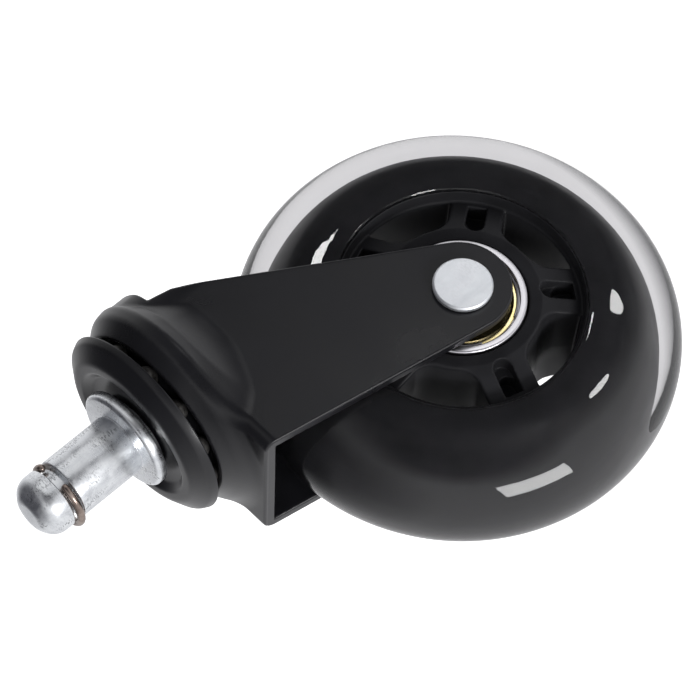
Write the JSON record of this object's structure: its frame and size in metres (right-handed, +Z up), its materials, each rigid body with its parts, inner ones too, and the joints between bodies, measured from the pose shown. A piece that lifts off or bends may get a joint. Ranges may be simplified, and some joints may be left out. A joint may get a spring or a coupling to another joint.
{
  "type": "swivel chair caster",
  "caption": "Swivel chair caster: grip-ring stem, ball-race swivel, pressed steel fork and a clear soft tyre on a black spoked core with ball bearings.",
  "frame": {"origin": "centre of the flange's top face, where the stem shank leaves it; the flange rests against the chair base here", "axes": "+Z up along the stem, which is the swivel axis; the axle lies along Y; the wheel trails towards -X; -Y is the near side"},
  "size_m": [0.08, 0.0378, 0.1146],
  "materials": {
    "zinc_plate": "bright zinc plate with fine turning marks",
    "spring_steel": "dark spring wire, slightly brown",
    "bearing_steel": "ground and polished",
    "gilt_shield": "yellow passivated sheet, glossy",
    "cage_nylon": "natural nylon",
    "black_paint": "semi-gloss black coating on pressed steel",
    "black_nylon": "black moulded nylon, satin",
    "clear_polyurethane": "clear soft polyurethane, glossy"
  },
  "bodies": {
    "stem": {"stem": "zinc_plate", "swivel_cap": "black_paint", "lower_race_washer": "zinc_plate"},
    "grip_ring": {"grip_ring": "spring_steel"},
    "upper_row": {"upper_ball_01": "bearing_steel", "upper_ball_02": "bearing_steel", "upper_ball_03": "bearing_steel", "upper_ball_04": "bearing_steel", "upper_ball_05": "bearing_steel", "upper_ball_06": "bearing_steel", "upper_ball_07": "bearing_steel", "upper_ball_08": "bearing_steel", "upper_ball_09": "bearing_steel", "upper_ball_10": "bearing_steel", "upper_ball_11": "bearing_steel", "upper_ball_12": "bearing_steel"},
    "lower_row": {"lower_ball_01": "bearing_steel", "lower_ball_02": "bearing_steel", "lower_ball_03": "bearing_steel", "lower_ball_04": "bearing_steel", "lower_ball_05": "bearing_steel", "lower_ball_06": "bearing_steel", "lower_ball_07": "bearing_steel", "lower_ball_08": "bearing_steel"},
    "fork": {"fork": "black_paint", "axle_rivet": "zinc_plate", "bearing_spacer": "zinc_plate", "near_inner_ring": "bearing_steel", "far_inner_ring": "bearing_steel"},
    "near_row": {"near_ball_01": "bearing_steel", "near_ball_02": "bearing_steel", "near_ball_03": "bearing_steel", "near_ball_04": "bearing_steel", "near_ball_05": "bearing_steel", "near_ball_06": "bearing_steel", "near_ball_07": "bearing_steel", "near_cage": "cage_nylon"},
    "far_row": {"far_ball_01": "bearing_steel", "far_ball_02": "bearing_steel", "far_ball_03": "bearing_steel", "far_ball_04": "bearing_steel", "far_ball_05": "bearing_steel", "far_ball_06": "bearing_steel", "far_ball_07": "bearing_steel", "far_cage": "cage_nylon"},
    "wheel": {"tyre": "clear_polyurethane", "wheel_core": "black_nylon", "near_outer_ring": "bearing_steel", "far_outer_ring": "bearing_steel", "near_outboard_shield": "gilt_shield", "near_inboard_shield": "gilt_shield", "far_outboard_shield": "gilt_shield", "far_inboard_shield": "gilt_shield", "near_outboard_clip": "bearing_steel", "near_inboard_clip": "bearing_steel", "far_outboard_clip": "bearing_steel", "far_inboard_clip": "bearing_steel"}
  },
  "joints": [
    {"name": "fork_swivel", "type": "hinge", "parent": "stem", "child": "fork", "pos_m": [0, 0, 0], "axis": [0, 0, 1], "continuous": true},
    {"name": "wheel_spin", "type": "hinge", "parent": "fork", "child": "wheel", "pos_m": [-0.0231, 0, -0.0553], "axis": [0, 1, 0], "continuous": true},
    {"name": "grip_ring_turn", "type": "hinge", "parent": "stem", "child": "grip_ring", "pos_m": [0, 0, 0.0138], "axis": [0, 0, 1], "continuous": true},
    {"name": "upper_row_roll", "type": "hinge", "parent": "stem", "child": "upper_row", "pos_m": [0, 0, 0], "axis": [0, 0, 1], "continuous": true},
    {"name": "lower_row_roll", "type": "hinge", "parent": "stem", "child": "lower_row", "pos_m": [0, 0, 0], "axis": [0, 0, 1], "continuous": true},
    {"name": "near_row_roll", "type": "hinge", "parent": "fork", "child": "near_row", "pos_m": [-0.0231, 0, -0.0553], "axis": [0, 1, 0], "continuous": true},
    {"name": "far_row_roll", "type": "hinge", "parent": "fork", "child": "far_row", "pos_m": [-0.0231, 0, -0.0553], "axis": [0, 1, 0], "continuous": true}
  ],
  "couplings": [
    {"joint": "upper_row_roll", "follows": "fork_swivel", "ratio": 0.5},
    {"joint": "lower_row_roll", "follows": "fork_swivel", "ratio": 0.5},
    {"joint": "near_row_roll", "follows": "wheel_spin", "ratio": 0.6323},
    {"joint": "far_row_roll", "follows": "wheel_spin", "ratio": 0.6323}
  ]
}
